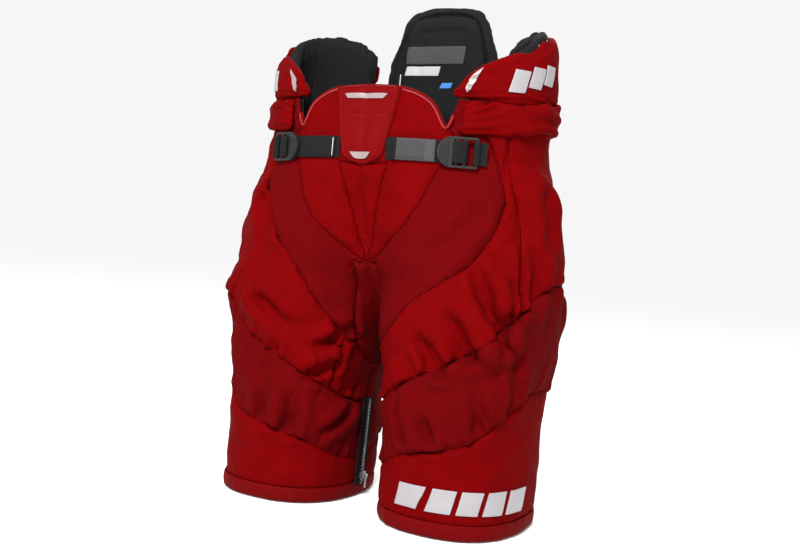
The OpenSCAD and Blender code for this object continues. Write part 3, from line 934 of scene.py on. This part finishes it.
def lie_on(tree, grid, lift):
    """A grid of points moved onto what lies below them, that far above it, and the directions there."""
    flat = grid.reshape(-1, 3)
    found = [tree.find_nearest(Vector(q)) for q in flat]
    place = np.array([f[0] for f in found]).reshape(grid.shape)
    out = np.array([f[1] for f in found]).reshape(grid.shape)
    for _ in range(2):
        relax(out)
        relax(out.swapaxes(0, 1))
    out /= np.linalg.norm(out, axis=-1)[..., None]
    return place + out * lift, out


def outward(o):
    with editing(o.data) as bm:
        bmesh.ops.recalc_face_normals(bm, faces=bm.faces)
    return o


def slab(name, low, high):
    """A closed thin plate between two grids of points."""
    rows, cols = low.shape[:2]
    verts = np.concatenate((high.reshape(-1, 3), low.reshape(-1, 3)))
    faces = grid_faces(rows, cols, False) + grid_faces(rows, cols, False, rows * cols, True)
    ids = np.arange(rows * cols).reshape(rows, cols)
    border = [*ids[0], *ids[1:, -1], *ids[-1, -2::-1], *ids[-2:0:-1, 0]]
    off = rows * cols
    faces += [[int(b), int(a), int(a) + off, int(b) + off] for a, b in zip(border, border[1:] + border[:1])]
    return outward(make(name, verts, faces))


EMBLEM_EDGE = .0003


def emblem(name, tree, grid, lift, depth):
    """A thin plate that lies on the cloth below it."""
    top, out = lie_on(tree, grid, lift + depth)
    o = slab(name, top - out * (depth + lift * .8), top)
    modify(o, "BEVEL", width=EMBLEM_EDGE, segments=2, limit_method="ANGLE", angle_limit=math.radians(50))
    return applied(o)


# ---------------------------------------------------------------- padding
wing_rim = table((-57, .490), (-54, .504), (-50, .516), (-44, .526), (-28, .546), (-10, .570), (12, .587),
                 (33, .596), (48, .590), (56, .576), (61, .552))
spine_half = table((0, .638), (9, .637), (16, .631), (19.5, .618), (23, .586), (27, .546))
spine_rim = lambda t: spine_half(np.abs(t - 90))
flat_z = lambda z: (lambda t: z + 0 * t)
TONGUE = (.0035, .0115)


def rim_roll(place, t0, t1, rim_of, low, inset, radius):
    """The rolled edge along a pad's rim and down its sides; it fades out at t1 if that is in front.

    Inset and radius are functions of the angle."""
    t = np.linspace(t0, t1, 70)
    r = radius(t)
    top = place(t, rim_of(t) - r, inset(t))
    down = np.linspace(1, 0, 12)[1:]
    first = place(np.full(11, t0), low + (rim_of(t0) - r[0] - low) * down, inset(t0))
    path, radii = [first[::-1], top], [np.full(11, r[0]), r]
    if t1 > 0:
        path.append(place(np.full(11, t1), low + (rim_of(t1) - r[-1] - low) * down, inset(t1)))
        radii.append(np.full(11, r[-1]))
    return tube("roll", np.concatenate(path), np.concatenate(radii), sides=14)


def build_hip_pads():
    slope = table((-57, .0088), (-46, .0094), (-36, .0066), (-24, .0030))
    drop = table((-34, .003), (-20, .0065))
    shell = cushion("shell", girdle_pt, -55, 59, flat_z(.484), lambda t: wing_rim(t) - drop(t),
                    (-.0008, .0095), (80, 34), .0025)
    centre = table((-57, .0088), (-40, .0085), (-24, .0050))
    roll = rim_roll(girdle_pt, -55, -25, lambda t: wing_rim(t) - drop(t) + .003, .487, centre, slope)
    tongue = cushion("tongue", girdle_pt, -50, 56, flat_z(.462), flat_z(.496), TONGUE, (60, 14))
    pad = puff(melt([shell, roll, tongue], "pad", .0032, 3), 8, .03, rough=.0009)
    p, out = coords(pad.data), normals(pad.data)
    t = waist_angle(p)
    seam = np.abs(p[:, 2] - (.500 + (t + 52) * .00125))
    fold = -.0022 * bell(seam, .0035) * (t > -53) * (t < 30)
    low_folds = .0016 * np.sin(p[:, 2] * 900 + 3 * np.sin(t * .09))
    low_folds *= bell(p[:, 2] - .492, .010)
    set_coords(pad.data, p + out * (fold + low_folds)[:, None])
    lining_rim = table((-52, .0115), (-40, .0100), (-26, .0020), (60, .0010))
    lining = cushion("pad_lining", girdle_pt, -51, 58, flat_z(.470), lambda t: wing_rim(t) - lining_rim(t),
                     (.0075, .0200), (80, 40), -.001)
    lining = puff(melt([lining], "lining", .0035, 4), 8, .04, 4.0, rough=.0004)
    kinds = ((pad, RED, "pad_cover", "hip_pad"), (lining, LINING, "pad_inside", "hip_lining"))
    for side, sign in SIDES:
        for o, m, name, node in kinds:
            made = copied(o, side + "_" + name, sign)
            dress(subdivided(made), m)
            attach(made, side + "_hip_pad")
            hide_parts(side + "_" + node)
    for o in (pad, lining):
        bpy.data.objects.remove(o)


def waist_bow(x):
    """How deep the waist is at x, as a share of its depth in the middle."""
    return (1 - (np.abs(x) / HALF_WAIST) ** WAIST_N) ** (1 / WAIST_N)


def build_spine_pad():
    shell = cushion("shell", girdle_pt, 64, 116, flat_z(.484), lambda t: spine_rim(t) - .003, (0, .0105),
                    (60, 44), .002)
    roll = rim_roll(girdle_pt, 64.5, 115.5, spine_rim, .487, flat_z(.0092), flat_z(.0062))
    tongue = cushion("tongue", girdle_pt, 66, 114, flat_z(.462), flat_z(.496), TONGUE, (40, 14))
    cover = puff(melt([shell, roll, tongue], "spine", .0032, 3), 8, .03, 1.0, rough=.0008)
    # Its lower end stays inside the seat panel.
    p = coords(cover.data)
    tucked = np.clip((SEAT_TOP + .020 - p[:, 2]) / .020, 0, 1)
    p[:, 1] = np.minimum(p[:, 1], back_d(p[:, 2]) * waist_bow(p[:, 0]) + .0035 - .0105 * tucked)
    set_coords(cover.data, p)
    inside = cushion("inside", girdle_pt, 67, 113, flat_z(.470), lambda t: spine_rim(t) - .0095,
                     (.0105, .0205), (60, 44), .001)
    inside = puff(melt([inside], "spine_inside", .0035, 4), 8, .04, 2.0, rough=.0008)
    p, out = coords(inside.data), normals(inside.data)
    channel = -.0022 * bell(np.abs(p[:, 0]) - .030, .0032) * (p[:, 2] < .60)
    channel -= .0022 * bell(p[:, 2] - .600, .0032) * (np.abs(p[:, 0]) < .031)
    set_coords(inside.data, p + out * channel[:, None])
    for o, node in ((cover, "spine_pad"), (inside, "spine_lining")):
        dress(subdivided(o), LINING)
        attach(o, "spine_pad")
        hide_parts(node)


def build_labels():
    """Plain patches on the spine pad's inner side, and a line of light piping. They carry no lettering."""
    tree = bvh_of(bpy.data.objects["spine_inside"])
    made = []
    for x0, x1, z0, z1, m in ((-.051, .031, .558, .581, GREY_WEBBING), (-.051, -.003, .543, .555, PATCH),
                              (.000, .016, .527, .534, BLUE)):
        u, v = np.linspace(0, 1, 24)[None, :], np.linspace(0, 1, 8)[:, None]
        x = x0 + (x1 - x0) * u + .003 * v
        grid = np.stack(np.broadcast_arrays(x, .075 + 0 * x, z0 + (z1 - z0) * v), -1)
        made.append(dress(emblem("label", tree, grid, .0002, .0006), m))
    v = np.linspace(0, 1, 20)
    line = np.stack((-.074 + .022 * v, .075 + 0 * v, .546 - .036 * v), 1)
    path, _ = lie_on(tree, np.stack((line, line + (.0005, 0, 0))), .0006)
    made.append(dress(tube("spine_piping", path[0], .0009), THREAD_LIGHT))
    for o in made:
        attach(o, "spine_pad")


def build_hip_bands():
    """The gathered sleeves below the hip pads, with folds that fan out from their front end."""
    low = table((-56, .4435), (-35, .4455), (-20, .4495), (0, .4565), (20, .4610), (60, .4630))
    high = table((-56, .4815), (-30, .4850), (-10, .4910), (5, .4955), (30, .4980), (60, .4965))
    band = cushion("band", girdle_pt, -55.5, 60, low, high, (-.0085, .0012), (90, 26))
    band = puff(melt([band], "band", .0030, 2), 6, .02, 6.0, rough=.0012)
    p, out = coords(band.data), normals(band.data)
    t = waist_angle(p)
    reach = np.clip((t + 56) / 115, 0, 1)
    fan = (p[:, 2] - low(t)) / (.012 + .026 * np.clip(reach * 3, 0, 1))
    folds = .0026 * np.sin(fan * 13 + 1.5 * np.sin(t * .11)) * (.6 + .9 * wrinkles(p, .035, 2.0))
    folds += .0012 * wrinkles(p * (1, 1, 3), .014, 8.0)
    set_coords(band.data, p + out * folds[:, None])
    for side, sign in SIDES:
        made = copied(band, side + "_band", sign)
        dress(subdivided(made), RED)
        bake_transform(made)
        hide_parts(side + "_hip_band")
    bpy.data.objects.remove(band)


def build_inner_pads():
    """The foam inside: side pads, tailbone pad and thigh pads. They fill the space behind the cover."""
    for side, sign in SIDES:
        place = (lambda t, z, inset: girdle_pt(t, z, inset) * (sign, 1, 1))
        pad = cushion(side + "_side_foam", place, -28, 46, flat_z(.32), flat_z(.455), (.0080, .0135),
                      (30, 16))
        thigh = cushion(side + "_thigh_foam", lambda t, z, inset: leg_pt(t, z, inset, sign), -148, -26,
                        flat_z(.03), flat_z(.22), (.0116, .0140), (36, 20))
        for o, body, node in ((pad, "girdle", "side_pad"), (thigh, side + "_leg", "thigh_pad")):
            dress(subdivided(o), FOAM)
            if body == "girdle":
                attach(o, body)
            else:
                with_leg(o, side)
            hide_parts(side + "_" + node)
    tail = cushion("tailbone_foam", girdle_pt, 66, 114, flat_z(.31), flat_z(.44), (.0080, .0135), (30, 16))
    dress(subdivided(tail), FOAM)
    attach(tail, "girdle")
    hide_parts("tailbone_pad")


# ---------------------------------------------------------------- crest, belt, buckles and trim
crest_half = table((.4045, .002), (.4065, .009), (.410, .018), (.414, .0255), (.421, .0285), (.446, .033),
                   (.470, .0375), (.486, .0405), (.490, .0402), (.4935, .037), (.4955, .030))


def front_grid(x, z):
    """Points in front of the girdle at those widths and heights."""
    return np.stack(np.broadcast_arrays(x, -front_d(z) - .004 + 0 * x, z), -1)


def front_hit(tree, x, z):
    """How far forward the cover is at that place, taken a little below its rim where it is near the rim."""
    z = min(z, float(rim(abs(x))) - .006)
    hit = tree.ray_cast(Vector((float(x), -.3, float(z))), Vector((0, 1, 0)))[0]
    return hit.y if hit else -float(front_d(z))


def build_crest(cover):
    u, z = np.linspace(-1, 1, 61), np.concatenate(([.4047], np.linspace(.406, .494, 66), [.4953]))
    x = u[None, :] * crest_half(z)[:, None]
    flat = front_grid(x, z[:, None] + 0 * x)
    y = np.array([front_hit(cover, q[0], q[2]) for q in flat.reshape(-1, 3)]).reshape(x.shape)
    first_y = y.copy()
    for _ in range(12):
        relax(y)
        relax(y.T)
    y = np.minimum(y, first_y + .001)
    side = (1 - np.abs(u))[None, :] * crest_half(z)[:, None]
    foot, top = (z - .4047)[:, None] + 0 * x, (.4953 - z)[:, None] + 0 * x
    edge = np.minimum(np.minimum(side, foot * 1.2), top * 1.5)
    raised = .0044 * np.clip(edge / .0035, 0, 1) ** .5
    raised -= .0012 * bell(edge - .0062, .0011)
    raised += .0010 * np.clip((edge - .008) / .01, 0, 1)
    raised -= .0010 * bell(z[:, None] - .4615 - .06 * np.abs(x), .0012) * (edge > .007)
    front = np.stack((x, y - .0006 - raised, z[:, None] + 0 * x), -1)
    back = np.stack((x, y + .0004, z[:, None] + 0 * x), -1)
    o = slab("crest_shield", back, front)
    dress(subdivided(o), SHIELD)
    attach(o, "girdle")
    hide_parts("crest_plate")
    tree = bvh_of(o)
    v = np.linspace(0, 1, 9)[:, None]
    top_tab = front_grid(np.linspace(-1, 1, 40)[None, :] * (.0225 + .005 * v), .4795 + .0055 * v)
    low_tab = front_grid(np.linspace(-1, 1, 24)[None, :] * (.0035 + .0095 * np.sqrt(v)), .4103 + .0085 * v)
    first = emblem("crest_top_tab", tree, top_tab, .0002, .0012)
    second = emblem("crest_low_tab", tree, low_tab, .0002, .0012)
    tabs = join([first, second], "crest_trim")
    dress(tabs, GREY_TRIM)
    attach(tabs, "girdle")
    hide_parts("crest_tabs")


def front_y(tree, x):
    """How far forward the cloth comes at x, behind the belt."""
    return min(front_hit(tree, x, z) for z in np.linspace(.412, .436, 7))


BAR = np.array((.1318, -.0858))
TURN = math.radians(22)


def buckle_place(x, y, z=0.0):
    """A place in the left buckle's own frame: x along it from the hinge bar, y away from the wearer."""
    c, s = math.cos(TURN), math.sin(TURN)
    return np.array((BAR[0] + x * c - y * s, BAR[1] + x * s + y * c, BELT_Z + z))


def webbing(name, path, half_width, depth, m):
    """A flat woven strap with round edges, standing on edge; the path is its middle line."""
    path = np.asarray(path, float)
    way = np.gradient(path, axis=0)
    way /= np.linalg.norm(way, axis=1)[:, None]
    out = np.cross((0, 0, 1.0), way)
    out /= np.linalg.norm(out, axis=1)[:, None]
    outer_half = [(-1, -.5), (-1, .5), (-.96, 1), (-.5, 1), (0, 1), (.5, 1), (.96, 1)]
    section = outer_half + [(-a, -b) for a, b in outer_half]
    w = np.array([s[0] for s in section]) * half_width
    d = np.array([s[1] for s in section]) * depth / 2
    ring = path[:, None] + d[None, :, None] * out[:, None] + w[None, :, None] * np.array((0, 0, 1.0))
    n, cols = len(path), len(section)
    faces = grid_faces(n, cols, True) + caps(n, cols)
    return dress(outward(make(name, ring.reshape(-1, 3), faces)), m)


def build_belts(cover):
    for side, sign in SIDES:
        flip = np.array((sign, 1, 1))
        x = np.linspace(.030, .088, 30)
        y = np.array([front_y(cover, sign * v) for v in x])
        for _ in range(6):
            y = np.minimum(y, relax(y.copy()))
        ends = np.array([buckle_place(-.040, .0042)[:2], buckle_place(-.030, .0036)[:2]])
        strap = np.concatenate((np.stack((x, y - .0014), 1), ends))
        lower = np.column_stack((strap, np.full(len(strap), BELT_Z)))
        piece = webbing(side + "_belt", lower * flip, .0125, .0014, WEBBING)
        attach(piece, "girdle")
        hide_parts(side + "_belt_strap")
        over = lower[(lower[:, 0] > (.034 if side == "right" else .038)) & (lower[:, 0] < .0905)].copy()
        over[:, 1] -= .0019
        tail = webbing(side + "_tail", over * flip, .0122, .0015,
                       WEBBING if side == "right" else GREY_WEBBING)
        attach(tail, "girdle")
        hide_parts(side + "_belt_tail")
        if side == "left":
            trim_webbing(over, flip)
        else:
            trim_tail_end(over, flip)
        build_buckle(side, flip)


def upright(name, over, x, half_height, lift, radius, flip):
    """A bead that stands across a strap at x, lifted off its middle line."""
    y = np.interp(x, over[:, 0], over[:, 1]) - lift
    z = np.linspace(BELT_Z - half_height, BELT_Z + half_height, 5)
    return tube(name, np.stack((np.full(5, x), np.full(5, y), z), 1) * flip, radius, sides=6)


def trim_webbing(over, flip):
    """Upright ribs across the grey tail, and the black keeper at its end."""
    inside = over[(over[:, 0] > .044) & (over[:, 0] < .078)]
    ribs = [upright("rib", inside, x, .0108, .0009, .0006, flip) for x in np.arange(.0445, .0765, .0021)]
    o = dress(join(ribs, "left_tail_ribs"), GREY_WEBBING)
    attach(o, "girdle")
    end = over[over[:, 0] < .0445].copy()
    end[:, 1] -= .0009
    keeper = webbing("left_tail_keeper", end * flip, .0130, .0022, WEBBING)
    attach(keeper, "girdle")


def trim_tail_end(over, flip):
    """The light stitched line across the black tail's end."""
    o = upright("right_tail_stitch", over, .0385, .0105, .0008, .0005, flip)
    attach(dress(o, THREAD_LIGHT), "girdle")


def build_buckle(side, flip):
    """Finish of the moulded buckle, its thumb ridges and the webbing round its ladder bars."""
    finish_node(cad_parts[side + "_buckle"], BUCKLE, .0006)
    ridges = []
    for x in (-.0315, -.0345, -.0375, -.0405):
        half = .0150 - .0045 * max(0, (-x - .0315) / .009) ** 2
        line = [buckle_place(x, -.0018, z) for z in np.linspace(-half, half, 7)]
        ridges.append(tube("ridge", np.array(line) * flip, .0007, sides=6))
    o = dress(join(ridges, side + "_buckle_ridges"), BUCKLE)
    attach(o, side + "_buckle")
    loop = [(-.0265, .0034), (-.0245, .0012), (-.0235, -.0022), (-.0218, -.0033), (-.0200, -.0028),
            (-.0182, .0002), (-.0168, .0026), (-.0150, .0034), (-.0130, .0034), (-.0110, .0024),
            (-.0102, .0000), (-.0108, -.0022), (-.0130, -.0036), (-.0160, -.0044), (-.0200, -.0052),
            (-.0240, -.0050), (-.0262, -.0040)]
    path = np.array([buckle_place(x, y) for x, y in loop])
    old, new = np.linspace(0, 1, len(path)), np.linspace(0, 1, 50)
    fine = np.stack([np.interp(new, old, path[:, i]) for i in range(3)], 1)
    wrap = webbing(side + "_buckle_webbing", relax(fine) * flip, .0120, .0012, WEBBING)
    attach(wrap, side + "_buckle")


def finish_node(node, m, bevel=0.0):
    """A CAD piece that shows as it is gets its finish, and round edges where it needs them."""
    node.data.materials.clear()
    node.data.materials.append(m)
    if bevel:
        modify(node, "BEVEL", width=bevel, segments=2, limit_method="ANGLE", angle_limit=math.radians(40))


def bar_grid(place, t, span, z0, z1, lean):
    u, v = np.linspace(0, 1, 12)[None, :], np.linspace(0, 1, 10)[:, None]
    return place(t + span * u + lean * v, z0 + (z1 - z0) * v + 0 * u, -.001)


def build_badges(made):
    guard = bvh_of(made["left_hem_guard"])
    bars = [emblem("bar", guard, bar_grid(leg_pt, t, 17, .030, .056, 4), .0003, .0013)
            for t in range(-109, -24, 21)]
    badge = dress(join(bars, "left_leg_bars"), SILVER)
    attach(badge, "left_leg")
    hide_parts("left_leg_badge")
    for side, sign in SIDES:
        tree = bvh_of(bpy.data.objects[side + "_pad_cover"])
        place = lambda t, z, inset: girdle_pt(t, z, -.004) * (sign, 1, 1)
        rise = [(-35, .497, .522), (-24.5, .504, .528), (-14, .511, .534)]
        bars = [emblem("bar", tree, bar_grid(place, t, 8.5, low, high, 3), .0003, .0013)
                for t, low, high in rise]
        bar = join(bars, side + "_hip_bars")
        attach(dress(bar, SILVER), side + "_hip_pad")
        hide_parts(side + "_hip_badge")
        v = np.linspace(0, 1, 20)[:, None]
        half = 1.5 * np.sin(math.pi * np.clip(v, .05, .95)) ** .8
        u = np.linspace(-1, 1, 9)[None, :]
        leaf = place(-52.5 + 5.5 * v ** 2 + half * u, .4895 + .031 * v + 0 * u, 0)
        tab = emblem(side + "_hip_leaf", tree, leaf, .0003, .0013)
        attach(dress(tab, GREY_TRIM), side + "_hip_pad")
        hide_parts(side + "_hip_tab")


def build_rim(cover):
    """The piped edge along the front panel's top, from one hip band to the other."""
    x = np.linspace(-.101, .101, 90)
    z = rim(np.abs(x)) - .0008
    y = -front_d(z) * waist_bow(x)
    path = np.array([cover.find_nearest(Vector(q))[0] for q in zip(x, y, z)])
    relax(path, 3)
    edge = tube("rim_binding", path + (0, .0016, -.0006), .0030, sides=12)
    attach(dress(edge, EDGE), "girdle")
    x = np.linspace(-.118, .118, 90)
    y = back_d(SEAT_TOP) * waist_bow(x)
    behind = np.array([cover.find_nearest(Vector((*q, SEAT_TOP)))[0] for q in zip(x, y)])
    behind = np.column_stack((behind[:, :2] + (0, .0014), np.full(len(x), SEAT_TOP - .0012)))
    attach(dress(tube("seat_binding", behind, .0026, sides=12), EDGE), "girdle")
    outside = np.abs(path[:, 0]) > .0415
    for side, sign in SIDES:
        part = path[outside & (path[:, 0] * sign > 0)]
        pipe = tube(side + "_rim_piping", part + (0, -.0008, -.0016), .0010, sides=8)
        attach(dress(pipe, PIPING), "girdle")


TAPE_LEAN = math.radians(1.32)


def build_zips():
    for side, sign in SIDES:
        finish_node(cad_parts[side + "_zip_tape"], WEBBING)
        finish_node(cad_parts[side + "_zip_slider"], METAL, .0004)
        finish_node(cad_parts[side + "_zip_pull"], METAL, .0003)
        teeth = []
        for i, z in enumerate(np.arange(.0175, .1235, .0021)):
            x = sign * (.0215 - (z - .015) * math.tan(TAPE_LEAN))
            y = .0011 if i % 2 else -.0011
            corners = [(x + a * .0005, y + b * .0013, z + c * .0006)
                       for a in (-1, 1) for b in (-1, 1) for c in (-1, 1)]
            teeth.append(make("tooth", corners, [(0, 1, 3, 2), (4, 6, 7, 5), (0, 4, 5, 1), (2, 3, 7, 6),
                                                 (0, 2, 6, 4), (1, 5, 7, 3)]))
        o = dress(join(teeth, side + "_zip_teeth"), METAL)
        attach(o, side + "_leg")


def build_caps():
    """The hard plates. Those in the upper pads show nowhere; those in the thighs lie below the folds."""
    for name in ("left_hip_cap", "right_hip_cap", "spine_cap"):
        finish_node(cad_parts[name], CAP)
    for side, sign in SIDES:
        plate = cushion(side + "_thigh_plate", lambda t, z, inset: leg_pt(t, z, inset, sign), -136, -38,
                        flat_z(.045), flat_z(.215), (.0099, .0114), (36, 20))
        with_leg(dress(plate, CAP), side)
        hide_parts(side + "_thigh_cap")


raw = raw_body()
base = new_object("lining", raw.data.copy())
cover = sew_body(raw)
made = build_panels(cover)
build_lining(base)
cover_tree = bvh_of(cover)
for side, sign in SIDES:
    build_hems(side, sign)
build_hip_pads()
build_spine_pad()
build_labels()
build_hip_bands()
build_inner_pads()
build_crest(cover_tree)
build_belts(cover_tree)
for side, _ in SIDES:
    finish_node(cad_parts[side + "_buckle_loop"], WEBBING)
build_badges(made)
build_rim(cover_tree)
build_zips()
build_caps()
bpy.data.objects.remove(cover)


# ---------------------------------------------------------------- camera, light, floor
def aim(azimuth, elevation, roll):
    """Axes of a camera that looks at the pants from that side: right, up and back."""
    a, e, r = (math.radians(v) for v in (azimuth, elevation, roll))
    back = Vector((math.sin(a) * math.cos(e), -math.cos(a) * math.cos(e), math.sin(e)))
    right = (-back).cross(Vector((0, 0, 1))).normalized()
    up = right.cross(-back)
    return right * math.cos(r) + up * math.sin(r), up * math.cos(r) - right * math.sin(r), back


SENSOR_MM, LENS_MM = 36, 43.48
CAMERA_TURN = 27.0, 1.3, 5.1
CAMERA_TARGET = .0073, 0, .2814
CAMERA_DISTANCE = 1.1939


def camera():
    data = bpy.data.cameras.new("camera")
    data.sensor_width = SENSOR_MM
    data.lens = LENS_MM
    data.clip_start = .05
    cam = bpy.data.objects.new("camera", data)
    bpy.context.scene.collection.objects.link(cam)
    right, up, back = aim(*CAMERA_TURN)
    place = Matrix((right, up, back)).transposed().to_4x4()
    place.translation = Vector(CAMERA_TARGET) + back * CAMERA_DISTANCE
    cam.matrix_world = place
    bpy.context.scene.camera = cam


def light(name, place, size, power_w):
    data = bpy.data.lights.new(name, "AREA")
    data.size, data.energy = size, power_w
    o = bpy.data.objects.new(name, data)
    bpy.context.scene.collection.objects.link(o)
    o.location = place
    o.rotation_mode = "QUATERNION"
    o.rotation_quaternion = (Vector((0, 0, .3)) - Vector(place)).to_track_quat("-Z", "Y")


camera()
light("key", (.45, -2.00, 2.05), .8, 136)
light("fill_left", (-1.9, -1.2, .9), 1.6, 4)
light("back", (-.6, 2.0, 1.8), 1.6, 45)
SKY, FLOOR_ALBEDO = .92, .93
world = bpy.data.worlds.new("world")
world.use_nodes = True
world.node_tree.nodes["Background"].inputs["Color"].default_value = (1, 1, 1, 1)
world.node_tree.nodes["Background"].inputs["Strength"].default_value = SKY
bpy.context.scene.world = world
bpy.context.scene.view_settings.view_transform = "Standard"
corners = [(x, y, -.0005) for x, y in ((-30, -30), (30, -30), (30, 30), (-30, 30))]
floor = make("floor", corners, [(0, 1, 2, 3)])
# The floor glows by what it absorbs, so that it is as bright as the sky far away and no horizon shows.
floor.data.materials.append(material("floor", "", [FLOOR_ALBEDO] * 3, .9, Specular_IOR_Level=0,
                                     Emission_Color=(1, 1, 1, 1),
                                     Emission_Strength=SKY * (1 - FLOOR_ALBEDO)))
